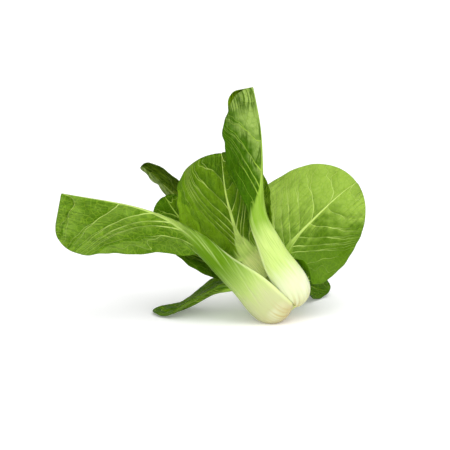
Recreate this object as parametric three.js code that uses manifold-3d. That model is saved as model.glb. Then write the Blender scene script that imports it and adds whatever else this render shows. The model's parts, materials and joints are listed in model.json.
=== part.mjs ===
// Bok choy, one head lying on its side, modelled in millimetres with +Z up.
// The head axis leans away from the table; whole leaves grow in rings round a short core.
// The origin is the low flat spot of the outermost stalk, where the head rests on the table.
import * as THREE from 'three';
import Module from 'manifold-3d';

const wasm = await Module();
wasm.setup();
const { Manifold, Mesh } = wasm;

// Head
const HEAD_LEAN = 52; // angle of the head axis above the table, degrees
const BASE_CENTRE = new THREE.Vector3(20, 0, 8.9); // middle of the cut stem end

// Middle of the flat spot under the outermost stalk, which becomes the origin
const REST_SPOT = [2.6, -7];

// Gaps between neighbouring bodies
const LEAF_GAP = 0.35;
const CORE_GAP = 0.3;

// Thickness of a blade at its margin, and of its rib where the blade begins
const BLADE_MARGIN = 0.7;
const RIB_AT_NECK = 5.2;

// Facets: steps along a leaf and across it, and round the core
const BROAD_LEAF = { along: 22, across: 10 };
const FOLDED_LEAF = { along: 22, across: 12 };
const NARROW_LEAF = { along: 20, across: 8 };
const HEART_LEAF = { along: 8, across: 6 };
const CORE_SIDES = 24;

// Stem core, from the cut face up to its crown: radius, height
const CORE_PROFILE = [[11, 1.5], [11.8, 2.5], [11.5, 4], [9, 7], [6, 10], [3.5, 13]];
const CORE_TOP = 15;

// Swollen foot of a stalk, inner face: radius, height, half angle in degrees, thickness
const STALK_FOOT = [
  [7.0, 4.5, 62, 4.5],
  [13.5, 5.0, 60, 5.5],
  [19.0, 8.0, 57, 7.0],
  [21.5, 16, 54, 7.2],
  [22.2, 27, 50, 6.8],
  [22.2, 39, 44, 6.2],
];

// What a leaf has when its own entry does not say otherwise:
// inset and rise of its ring, span, plumpness and height of its foot, control row where the
// blade begins, rib half width at the neck, how sharply the blade folds up at the rib, in
// degrees, the fraction of the blade over which each half comes in, its fullness towards the
// stalk and towards the tip of each half, how far its lobes reach back, and its margin waves
// (height, count, phase)
const LEAF = {
  inset: 0, rise: 0, span: 1, plump: 1, tall: 1, bladeFrom: 6, neck: 8.5, fold: 0, late: [0, 0],
  root: 0.6, tip: [0.5, 0.5], lobe: [3, 3], waves: [0.8, 2, 0.5], facets: BROAD_LEAF,
};

// Leaves from the outside of the head inwards. `around` is the leaf's place round the axis,
// `wide` its blade's half widths. Path rows above the foot: x, y, z of the rib, the way the
// upper face looks, how far the left and right halves curl, in degrees, and where the leaf
// turns sharply also the axis its cross section stands square to
const LEAVES = [
  {
    name: 'leaf_left', colour: 0x8fb548, around: -50, span: 1.06, bladeFrom: 7.1,
    wide: [22, 39.5], fold: 52, late: [0.35, 0], root: 0.72, tip: [0.26, 0.16], lobe: [1, 1],
    waves: [1, 2.5, 0], facets: FOLDED_LEAF,
    path: [
      [-33, -16, 43.5, 0.35, 0.85, 0.35, 40, 40],
      [-45, -17, 57, 0.15, 0.9, 0, 45, 40],
      [-60, -16, 69.5, 0.05, 0.75, -0.6, 50, 40],
      [-77, -14, 78, 0, 0.4, -0.9, 50, 35],
      [-96, -12.5, 85, 0, 0.25, -1, 50, 35],
      [-116, -12, 89.5, 0, 0.25, -1, 50, 35],
      [-134, -12, 93, 0, 0.25, -1, 50, 30],
      [-149, -12, 96, 0, 0.25, -1, 50, 30],
    ],
  },
  {
    name: 'leaf_upright', colour: 0x9cc060, around: 52, inset: 3.5, bladeFrom: 7.1, neck: 9.5,
    wide: [22.5, 26], fold: 48, late: [0, 0.45], root: 0.66, tip: [0.12, 0.42], lobe: [2, 2],
    waves: [1, 2.5, 1], facets: FOLDED_LEAF,
    path: [
      [1.5, -13, 62.5, -0.55, 0.75, -0.3, 40, 40],
      [-6, -14, 76.5, -0.6, 0.75, -0.2, 45, 45],
      [-7.5, -13, 91.5, -0.7, 0.7, -0.1, 45, 50],
      [-6.5, -11, 109.5, -0.85, 0.5, -0.05, 42, 50],
      [-6, -9, 128.5, -0.93, 0.35, 0, 48, 50],
      [-6.5, -7.5, 144.5, -0.95, 0.3, 0, 75, 55],
      [-8.5, -6, 158.5, -0.95, 0.3, 0.05, 100, 60],
      [-11, -5, 172.5, -0.95, 0.3, 0.05, 105, 60],
    ],
  },
  {
    name: 'leaf_low_right', colour: 0x5f8f26, around: 168, span: 0.9, wide: [30, 20],
    tip: [0.4, 0.4], facets: NARROW_LEAF,
    path: [
      [8, 32, 37, -0.4, -0.6, 0.5, 35, 35],
      [13, 46, 31, -0.2, -0.5, 0.8, 25, 25],
      [20, 60, 21, -0.1, -0.7, 0.7, 15, 15],
      [29, 73, 14, -0.1, -0.75, 0.65, 12, 12],
      [39, 84, 11.5, -0.1, -0.75, 0.65, 12, 12],
      [49, 93, 12.5, -0.1, -0.75, 0.65, 12, 12],
    ],
  },
  {
    name: 'leaf_low_left', colour: 0x6d9a30, around: -112, inset: 4, span: 0.9, bladeFrom: 5.7,
    neck: 7.5, wide: [20, 22], facets: NARROW_LEAF,
    path: [
      [-30, 12, 24, 0.5, -0.2, 0.8, 35, 35],
      [-41, 14, 21, 0.3, -0.1, 0.9, 25, 25],
      [-53, 16, 11, 0.3, 0, 0.95, 15, 15],
      [-65, 18, 4, 0.1, 0, 1, 12, 12],
      [-76, 19, 0, 0.05, 0, 1, 12, 12],
      [-85, 20, 2.5, 0, 0, 1, 12, 12],
    ],
  },
  {
    name: 'leaf_right', colour: 0x84b53e, around: 128, inset: 5, plump: 0.85, tall: 0.65,
    bladeFrom: 6.2, neck: 8, wide: [44, 40], root: 0.32, lobe: [14, 21], waves: [1, 2.5, 2],
    path: [
      [13.5, 13.5, 43.5, -0.5, -0.7, 0, 38, 38, 0.05, 0.3, 0.95],
      [15.5, 18, 48.5, -0.25, -0.85, 0.2, 28, 28, 0.4, 0.35, 0.85],
      [21, 25, 55.5, -0.15, -0.85, 0.3, 12, 12, 0.6, 0.35, 0.72],
      [31, 31.5, 65, -0.2, -0.85, 0.35, 6, 6, 0.66, 0.3, 0.68],
      [45, 37, 78, -0.3, -0.9, 0.35, 4, 4],
      [58, 41, 89, -0.25, -0.9, 0.3, 3, 3],
      [69.5, 43, 97, -0.2, -0.95, 0.25, 3, 3],
    ],
  },
  {
    name: 'leaf_rolled', colour: 0x7d9a58, around: -170, inset: 4, rise: 3, span: 0.6,
    plump: 0.7, wide: [13, 12], root: 0.9, tip: [0.35, 0.35], lobe: [2, 2], facets: NARROW_LEAF,
    path: [
      [-27, 29, 43, 0.1, -0.9, 0.3, 40, 40],
      [-40, 38, 56, 0.1, -0.9, 0.3, 50, 50],
      [-52, 46, 67.5, 0.1, -0.8, 0.5, 80, 80],
      [-67, 52, 83.5, 0.1, -0.7, 0.6, 110, 110],
      [-81, 54, 96, 0.1, -0.6, 0.7, 120, 120],
      [-95, 54, 107, 0.1, -0.6, 0.7, 120, 120],
    ],
  },
  {
    name: 'leaf_back_left', colour: 0x5a9020, around: -138, inset: 7, span: 0.75, plump: 0.7,
    bladeFrom: 5.5, wide: [21, 18], root: 0.5, tip: [0.42, 0.5], facets: NARROW_LEAF,
    path: [
      [-30, 19, 38.5, 0.3, -0.9, 0.3, 40, 40],
      [-44, 22, 52, 0.25, -0.9, 0.3, 30, 30],
      [-56, 26, 62.5, 0.2, -0.9, 0.3, 15, 20],
      [-65.5, 30, 72, 0.15, -0.9, 0.3, 10, 20],
      [-71.5, 33, 79.5, 0.1, -0.9, 0.3, 10, 15],
      [-76.5, 36, 87, 0.1, -0.9, 0.3, 10, 10],
    ],
  },
  {
    name: 'leaf_inner', colour: 0x4a7a12, around: 150, inset: 8, rise: 3, span: 0.7, plump: 0.6,
    bladeFrom: 5.5, neck: 7, wide: [17, 17], facets: NARROW_LEAF,
    path: [
      [-8, 17, 51.5, -0.2, -0.9, 0.1, 40, 40],
      [-12, 20, 67.5, -0.2, -0.9, 0.1, 30, 30],
      [-14, 23, 83.5, -0.2, -0.9, 0.1, 20, 20],
      [-14, 27, 98.5, -0.15, -0.9, 0.15, 15, 15],
      [-13, 31, 111.5, -0.1, -0.9, 0.2, 15, 15],
    ],
  },
  {
    name: 'leaf_middle', colour: 0x5b8f12, around: 186, inset: 9.5, rise: 4, span: 0.85,
    plump: 0.65, bladeFrom: 5.8, wide: [36, 24], root: 0.55, tip: [0.45, 0.45],
    waves: [0.9, 2.5, 0.5],
    path: [
      [-15, 9, 49.5, 0.1, -0.97, 0.2, 40, 40],
      [-21, 9, 59.5, 0.1, -0.97, 0.2, 25, 40],
      [-26, 11, 76.5, 0.05, -0.97, 0.2, 12, 50],
      [-30, 14, 89.5, 0, -0.95, 0.3, 8, 60],
      [-32, 19, 104.5, 0, -0.9, 0.4, 6, 60],
      [-33.5, 25, 121.5, 0, -0.85, 0.5, 5, 50],
    ],
  },
];

// Small leaves at the heart of the head: place round the axis, share of a big leaf's foot,
// how far up the axis the foot begins, blade half width and length above the foot
const HEART_LEAVES = [
  { name: 'heart_leaf_outer', around: 20, share: 0.34, rise: 9, wide: 4.6, reach: 9 },
  { name: 'heart_leaf_side', around: 200, share: 0.27, rise: 11, wide: 4, reach: 8 },
  { name: 'heart_leaf_inner', around: 110, share: 0.2, rise: 13, wide: 3, reach: 7 },
];

const lean = THREE.MathUtils.degToRad(HEAD_LEAN);
const AXIS = new THREE.Vector3(-Math.cos(lean), 0, Math.sin(lean));
const FRONT = new THREE.Vector3(0, -1, 0);
const SIDE = new THREE.Vector3(AXIS.z, 0, -AXIS.x);

// Unit vector away from the head axis at a place round it
function outward(degrees) {
  const angle = THREE.MathUtils.degToRad(degrees);
  return FRONT.clone().multiplyScalar(Math.cos(angle)).addScaledVector(SIDE, Math.sin(angle));
}

function headPoint(around, radius, height) {
  return BASE_CENTRE.clone().addScaledVector(AXIS, height).addScaledVector(outward(around), radius);
}

// Uniform cubic B-spline through rows of numbers; t counts rows
function splineAt(rows, t) {
  const last = rows.length - 1;
  const cell = Math.min(Math.floor(t), last - 1);
  const f = t - cell;
  const before = rows[0].map((v, k) => 2 * v - rows[1][k]);
  const after = rows[last].map((v, k) => 2 * v - rows[last - 1][k]);
  const row = (i) => (i < 0 ? before : i > last ? after : rows[i]);
  const weights = [
    (1 - f) ** 3,
    3 * f ** 3 - 6 * f ** 2 + 4,
    -3 * f ** 3 + 3 * f ** 2 + 3 * f + 1,
    f ** 3,
  ];
  return rows[0].map((_, k) =>
    weights.reduce((sum, w, i) => sum + (w * row(cell - 1 + i)[k]) / 6, 0),
  );
}

// Control rows of a leaf: rib point, upper face normal, section axis, rib half width,
// rib thickness, curl left and right
function controlRows(leaf) {
  const away = outward(leaf.around);
  const rows = STALK_FOOT.map(([radius, height, half, thick]) => {
    const share = leaf.share ?? 1;
    const inner = radius * share - leaf.inset;
    const r = inner < 3 && leaf.inset > 0 ? 3 + 0.2 * (inner - 3) : inner;
    const h = height * share * leaf.tall + leaf.rise;
    const arc = half * leaf.span;
    const point = headPoint(leaf.around, r, h);
    const rib = r * THREE.MathUtils.degToRad(arc);
    return [...point, -away.x, -away.y, -away.z, ...AXIS, rib, thick * share * leaf.plump, arc, arc];
  });
  const points = leaf.path.map(([x, y, z]) => new THREE.Vector3(x, y, z));
  leaf.path.forEach((row, k) => {
    const back = k > 0 ? points[k - 1] : new THREE.Vector3(...rows[STALK_FOOT.length - 1]);
    const ahead = points[Math.min(k + 1, points.length - 1)];
    const axis = row.length > 8 ? new THREE.Vector3(...row.slice(8)) : ahead.clone().sub(back);
    axis.normalize();
    const face = new THREE.Vector3(row[3], row[4], row[5]).normalize();
    const left = 1 - k / (leaf.path.length - 1);
    const rib = leaf.neck * left ** 1.1 + 0.4;
    const thick = leaf.ribThick * left ** 1.3 + 0.05;
    rows.push([...points[k], ...face, ...axis, rib, thick, row[6], row[7]]);
  });
  return rows;
}

// Rib points, frames and sizes at even fractions of the leaf's length, closer at both ends
function ribStations(leaf) {
  const rows = controlRows(leaf);
  const spans = rows.length - 1;
  const samples = 400;
  const dense = Array.from({ length: samples + 1 }, (_, i) => splineAt(rows, (i / samples) * spans));
  const run = [0];
  for (let i = 1; i <= samples; i++) {
    const a = new THREE.Vector3(...dense[i - 1]);
    run.push(run[i - 1] + a.distanceTo(new THREE.Vector3(...dense[i])));
  }
  const total = run[samples];
  const bladeStart = run[Math.round((leaf.bladeFrom / spans) * samples)];
  const stations = [];
  const steps = leaf.facets.along;
  for (let i = 0; i <= steps; i++) {
    const tau = i / steps;
    const s = total * (0.25 * tau + 0.75 * (0.5 - 0.5 * Math.cos(Math.PI * tau)));
    let k = 1;
    while (k < samples && run[k] < s) k++;
    const f = (s - run[k - 1]) / (run[k] - run[k - 1]);
    const row = splineAt(rows, ((k - 1 + f) / samples) * spans);
    const axis = new THREE.Vector3(row[6], row[7], row[8]).normalize();
    const face = new THREE.Vector3(row[3], row[4], row[5]);
    face.addScaledVector(axis, -face.dot(axis)).normalize();
    const point = new THREE.Vector3(row[0], row[1], row[2]);
    const blade = THREE.MathUtils.clamp((s - bladeStart) / (total - bladeStart), 0, 1);
    stations.push({ point, axis, face, rib: row[9], thick: row[10], curl: [row[11], row[12]], blade });
  }
  return stations;
}

// Fullness of one half of the blade at a fraction of its length, 1 at its widest
function fullness(leaf, x, side) {
  const tip = leaf.tip[side];
  const peak = leaf.root / (leaf.root + tip);
  const grown = THREE.MathUtils.smoothstep(x, -1e-6, leaf.late[side]);
  return grown * (x / peak) ** leaf.root * ((1 - x) / (1 - peak)) ** tip;
}

// How far out and up from the rib a half reaches at a share q of its width. It folds up by
// `fold` right beside the rib, then curls evenly by `curl`, both in radians
function sectionAt(q, half, rib, fold, curl) {
  const steps = 16;
  let out = 0;
  let up = 0;
  for (let i = 0; i < steps; i++) {
    const share = (q * (i + 0.5)) / steps;
    const angle = fold * (1 - Math.exp((-share * half) / (0.7 * rib + 1))) + curl * share;
    out += (half * q * Math.cos(angle)) / steps;
    up += (half * q * Math.sin(angle)) / steps;
  }
  return { out, up };
}

// Upper face of a leaf as a grid of points, with the thickness below each
function leafFace(leaf) {
  const stations = ribStations(leaf);
  const across = leaf.facets.across;
  const [waveHeight, waveCount, wavePhase] = leaf.waves;
  return stations.map(({ point, axis, face, rib, thick, curl, blade }, i) => {
    const atTip = i === stations.length - 1;
    const sideways = new THREE.Vector3().crossVectors(axis, face);
    const fold = THREE.MathUtils.degToRad(leaf.fold) * THREE.MathUtils.smoothstep(blade, 0, 0.3);
    return Array.from({ length: across + 1 }, (_, j) => {
      const even = (2 * j) / across - 1;
      const q = Math.abs(even) ** 1.35;
      const side = even < 0 ? 0 : 1;
      const full = atTip ? 0.02 : fullness(leaf, blade, side);
      const half = rib * (1 - 0.6 * Math.min(full, 1)) + full * leaf.wide[side];
      const { out, up } = sectionAt(q, half, rib, fold, THREE.MathUtils.degToRad(curl[side]));
      const ripple = Math.sin(2 * Math.PI * waveCount * blade + wavePhase + 1.9 * side);
      const wave = waveHeight * Math.min(full, 1) * q ** 2.5 * ripple;
      const swept = leaf.lobe[side] * (1 - blade) ** 2 * Math.min(20 * blade, 1) * q ** 1.5;
      const p = point.clone().addScaledVector(sideways, side ? out : -out);
      p.addScaledVector(face, up + wave).addScaledVector(axis, -swept);
      const inRib = Math.min((q * half) / Math.max(rib, 0.3), 1);
      return { p, thick: BLADE_MARGIN + thick * (1 - inRib ** 2) };
    });
  });
}

// A leaf as a closed body, swollen all round by `grow`
function leafSolid(leaf, grow) {
  const face = leafFace(leaf);
  const { along, across } = leaf.facets;
  const between = (a, b) => new THREE.Vector3().subVectors(a.p, b.p).normalize();
  const high = [];
  const low = [];
  face.forEach((row, i) => {
    const k = Math.min(i, along - 1);
    high.push([]);
    low.push([]);
    row.forEach(({ p, thick }, j) => {
      const onward = between(face[k + 1][j], face[Math.max(k - 1, 0)][j]);
      const over = between(face[k][Math.min(j + 1, across)], face[k][Math.max(j - 1, 0)]);
      const normal = over.clone().cross(onward).normalize();
      const rim = p.clone();
      rim.addScaledVector(over, j === 0 ? -grow : j === across ? grow : 0);
      rim.addScaledVector(onward, i === 0 ? -grow : i === along ? grow : 0);
      high[i].push(rim.clone().addScaledVector(normal, grow));
      low[i].push(rim.addScaledVector(normal, -thick - grow));
    });
  });
  return bodyBetween(high, low);
}

// Closed body between two grids of points, split into triangles alike on both faces
function bodyBetween(high, low) {
  const rows = high.length;
  const columns = high[0].length;
  const points = [...high.flat(), ...low.flat()];
  const triangles = [];
  const quad = (a, b, c, d) => triangles.push(a, b, c, a, c, d);
  const top = (i, j) => i * columns + j;
  const bottom = (i, j) => rows * columns + top(i, j);
  for (let i = 0; i < rows - 1; i++) {
    for (let j = 0; j < columns - 1; j++) {
      quad(top(i, j), top(i, j + 1), top(i + 1, j + 1), top(i + 1, j));
      triangles.push(bottom(i, j), bottom(i + 1, j + 1), bottom(i, j + 1));
      triangles.push(bottom(i, j), bottom(i + 1, j), bottom(i + 1, j + 1));
    }
    quad(top(i, 0), top(i + 1, 0), bottom(i + 1, 0), bottom(i, 0));
    const j = columns - 1;
    quad(bottom(i, j), bottom(i + 1, j), top(i + 1, j), top(i, j));
  }
  for (let j = 0; j < columns - 1; j++) {
    quad(top(0, j), bottom(0, j), bottom(0, j + 1), top(0, j + 1));
    const i = rows - 1;
    quad(top(i, j), top(i, j + 1), bottom(i, j + 1), bottom(i, j));
  }
  return solid(points, triangles);
}

function solid(points, triangles) {
  const vertProperties = new Float32Array(points.flatMap((p) => [p.x, p.y, p.z]));
  return new Manifold(new Mesh({ numProp: 3, vertProperties, triVerts: new Uint32Array(triangles) }));
}

// Stem core turned about the head axis
function coreSolid(grow) {
  const points = [];
  const triangles = [];
  CORE_PROFILE.forEach(([radius, height], i) => {
    for (let k = 0; k < CORE_SIDES; k++) {
      const lift = i === 0 ? -grow : 0;
      points.push(headPoint((360 * k) / CORE_SIDES, radius + grow, height + lift));
    }
  });
  const rings = CORE_PROFILE.length;
  const foot = points.push(headPoint(0, 0, CORE_PROFILE[0][1] - grow)) - 1;
  const crown = points.push(headPoint(0, 0, CORE_TOP + grow)) - 1;
  for (let k = 0; k < CORE_SIDES; k++) {
    const next = (k + 1) % CORE_SIDES;
    triangles.push(foot, next, k);
    const topRing = (rings - 1) * CORE_SIDES;
    triangles.push(crown, topRing + k, topRing + next);
    for (let i = 0; i < rings - 1; i++) {
      const a = i * CORE_SIDES;
      const b = a + CORE_SIDES;
      triangles.push(a + k, b + next, b + k, a + k, a + next, b + next);
    }
  }
  return solid(points, triangles);
}

// Block below the table top, which gives each low spot a small flat rest
function belowTable() {
  const corners = [];
  for (const z of [-30, 0]) {
    corners.push([-200, -100, z], [100, -100, z], [100, 160, z], [-200, 160, z]);
  }
  const points = corners.map((c) => new THREE.Vector3(...c));
  const faces = [
    [0, 3, 2, 1], [4, 5, 6, 7], [0, 1, 5, 4], [1, 2, 6, 5], [2, 3, 7, 6], [3, 0, 4, 7],
  ];
  return solid(points, faces.flatMap(([a, b, c, d]) => [a, b, c, a, c, d]));
}

// A heart leaf's path: straight up the axis from its foot, leaning in a little
function heartPath({ around, share, rise, reach }) {
  const radius = 22.2 * share;
  const start = 39 * share + rise;
  const inward = outward(around).negate();
  return [0.35, 0.7, 1].map((f) => {
    const point = headPoint(around, radius * (1 - 0.25 * f), start + reach * f);
    return [...point, ...inward, 60, 60];
  });
}

function toGeometry(body) {
  const mesh = body.getMesh();
  const geometry = new THREE.BufferGeometry();
  geometry.setAttribute('position', new THREE.BufferAttribute(mesh.vertProperties, 3));
  geometry.setIndex(new THREE.BufferAttribute(mesh.triVerts, 1));
  return geometry;
}

function largestPiece(body) {
  return body.decompose().reduce((best, piece) => (piece.volume() > best.volume() ? piece : best));
}

const group = new THREE.Group();
group.name = 'bok_choy';

function add(name, body, colour, roughness) {
  const material = new THREE.MeshStandardMaterial({ color: colour, roughness, metalness: 0 });
  const mesh = new THREE.Mesh(toGeometry(body), material);
  mesh.name = name;
  mesh.position.set(-REST_SPOT[0], -REST_SPOT[1], 0);
  group.add(mesh);
}

const table = belowTable();
add('core', coreSolid(0), 0xddd7ab, 0.6);

const bigLeaves = LEAVES.map((leaf) => ({ ...LEAF, ribThick: RIB_AT_NECK, ...leaf }));
const heartLeaves = HEART_LEAVES.map((leaf) => ({
  ...LEAF,
  ribThick: 0.8,
  neck: 2,
  lobe: [0, 0],
  waves: [0.2, 2, 0],
  colour: 0xc3d77c,
  facets: HEART_LEAF,
  ...leaf,
  wide: [leaf.wide, leaf.wide],
  path: heartPath(leaf),
}));

// Each leaf is pressed against the core and the leaves outside it, with a thin gap
let taken = coreSolid(CORE_GAP).add(table);
for (const leaf of [...bigLeaves, ...heartLeaves]) {
  const body = largestPiece(leafSolid(leaf, 0).subtract(taken));
  add(leaf.name, body, leaf.colour, 0.5);
  taken = taken.add(leafSolid(leaf, LEAF_GAP)).add(body);
}

export default group;
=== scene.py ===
"""The look of a fresh bok choy head lying on its side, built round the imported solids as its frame.

Every leaf is one fine closed mesh on the same surface as its solid, with puckers between the veins,
a raised rib and strands in the stalk. Lengths are millimetres until a mesh is made.
"""

import json
import math
from types import SimpleNamespace

import bmesh
import bpy
import numpy as np
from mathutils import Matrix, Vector
from mathutils.bvhtree import BVHTree


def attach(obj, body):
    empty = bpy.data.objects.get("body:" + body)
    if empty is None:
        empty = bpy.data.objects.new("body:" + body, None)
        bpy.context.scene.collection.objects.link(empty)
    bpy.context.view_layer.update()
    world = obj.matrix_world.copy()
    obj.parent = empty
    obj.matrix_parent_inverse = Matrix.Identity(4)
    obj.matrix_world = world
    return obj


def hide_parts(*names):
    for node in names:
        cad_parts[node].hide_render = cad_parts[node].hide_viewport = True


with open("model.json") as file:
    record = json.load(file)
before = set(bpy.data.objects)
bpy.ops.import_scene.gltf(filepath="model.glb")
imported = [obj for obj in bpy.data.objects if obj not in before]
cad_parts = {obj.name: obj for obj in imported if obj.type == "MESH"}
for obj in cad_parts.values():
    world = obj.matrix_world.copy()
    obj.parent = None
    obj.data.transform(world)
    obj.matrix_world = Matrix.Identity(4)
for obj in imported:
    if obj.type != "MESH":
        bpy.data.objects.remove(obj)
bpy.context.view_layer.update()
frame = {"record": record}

MM = 0.001

# Head: lean of its axis, middle of its foot, and the spot on the surface that the origin is at
HEAD_LEAN = math.radians(52)
BASE_CENTRE = np.array([20.0, 0.0, 8.9])
REST_SPOT = np.array([2.6, -7.0, 0.0])
AXIS = np.array([-math.cos(HEAD_LEAN), 0.0, math.sin(HEAD_LEAN)])
FRONT = np.array([0.0, -1.0, 0.0])
SIDE = np.array([AXIS[2], 0.0, -AXIS[0]])

# Swollen foot of a stalk, inner face: radius, height, half angle in degrees, thickness
STALK_FOOT = [
    (7.0, 4.5, 62, 4.5),
    (13.5, 5.0, 60, 5.5),
    (19.0, 8.0, 57, 7.0),
    (21.5, 16, 54, 7.2),
    (22.2, 27, 50, 6.8),
    (22.2, 39, 44, 6.2),
]

# Stem core: radius, height; rings on its cut face and on its side, points in a ring, and how uneven
# the cut is
CORE_PROFILE = [(11, 1.5), (11.8, 2.5), (11.5, 4), (9, 7), (6, 10), (3.5, 13), (0, 15)]
CUT_RINGS = 14
SIDE_RINGS = 40
CORE_SIDES = 120
CUT_RELIEF = 0.12

# Blade: thickness at its margin, how far the rim bulges as a share of that, and share of the full
# width in the last row
BLADE_MARGIN = 0.7
RIM_BULGE = 0.4
TIP_WIDTH = 0.02

# Relief of a leaf: swells of the blade as wavelength, height and what is added to the leaf's seed,
# then strands of the stalk, groove over the rib and side veins on the underside
SWELLS = [(22, 0.7, 0), (8, 0.28, 50), (3.5, 0.09, 90)]
STRAND_HEIGHT = 0.07
GROOVE_DEPTH = 0.3
VEIN_HEIGHT = 0.45

# Where leaves meet: the gap kept, the deepest entry that is mended, how near they are compared, and
# the least thickness left
LEAF_GAP = 0.25
DEEPEST_ENTRY = 12
NEIGHBOUR = 8
PRESSED_THIN = 0.1

# Height of the lowest points above the surface that the head lies on
CLEARANCE = 0.02

# Grid lines along and across a leaf, and the power that crowds them towards its rib
BROAD = (210, 92)
NARROW = (170, 72)
HEART = (60, 36)
CROWDING = 1.15

# Places where a leaf's path and its cross section are measured, and waves summed in a noise
PATH_SAMPLES = 801
SECTION_SAMPLES = 41
NOISE_WAVES = 7

# One unit of a leaf's flat map and of its patterns
MAP_UNIT = 100

# What a leaf has when its own entry does not say otherwise
LEAF = dict(
    inset=0, rise=0,  # how much nearer the head's axis and further up it the foot lies
    span=1, plump=1, tall=1, share=1,  # factors on the foot's half angle, thickness, height and size
    blade_from=6,  # row where the blade starts, counted from the first row of the foot
    neck=8.5, rib_thick=5.2,  # half width and thickness of the rib above the foot
    root=0.6, tip=(0.5, 0.5),  # powers of the outline towards the stalk, and towards the tip by halves
    late=(0, 0),  # share of the blade over which a half grows to its full width
    lobe=(3, 3),  # how far the margins are swept back beside the stalk
    fold=0,  # degrees that both halves turn up beside the rib
    waves=(0.8, 2, 0.5), ragged=1,  # height, number and phase of the margin's waves, its unevenness
    veins=6, sweep=(0.62, 0.85),  # side veins, how far forward they run, and the power of their bend
    pucker=1.1,  # height of the blade between its veins
    grid=BROAD,
    # the lean along and across partly paints shade, darker where a neighbouring leaf shades the blade
    tone=0, lean=(0, 0),  # how much lighter the blade is, in all, and along and across it
    # quilt also sets the painted shade on one side of each field between the veins
    quilt=1,  # difference in tone of the fields between veins, and strength of the fine relief
    # the darkness of the fine creases is painted shade
    crease=0.3,  # darkness of the fine creases
    greening=(0.76, 1.06),  # heights on the stalk between which it turns green
    fan=1.15,  # how wide the stalk's flesh starts on the blade, in half widths of the rib
    gloss=0.08, seed=0,
    colours={},  # colours that differ from the palette of the leaf's slot
)


def srgb(red, green, blue):
    """A colour given as it looks on a screen, as linear values."""
    values = [c / 255 for c in (red, green, blue)]
    return (*[v / 12.92 if v <= 0.04045 else ((v + 0.055) / 1.055) ** 2.4 for v in values], 1)


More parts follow.
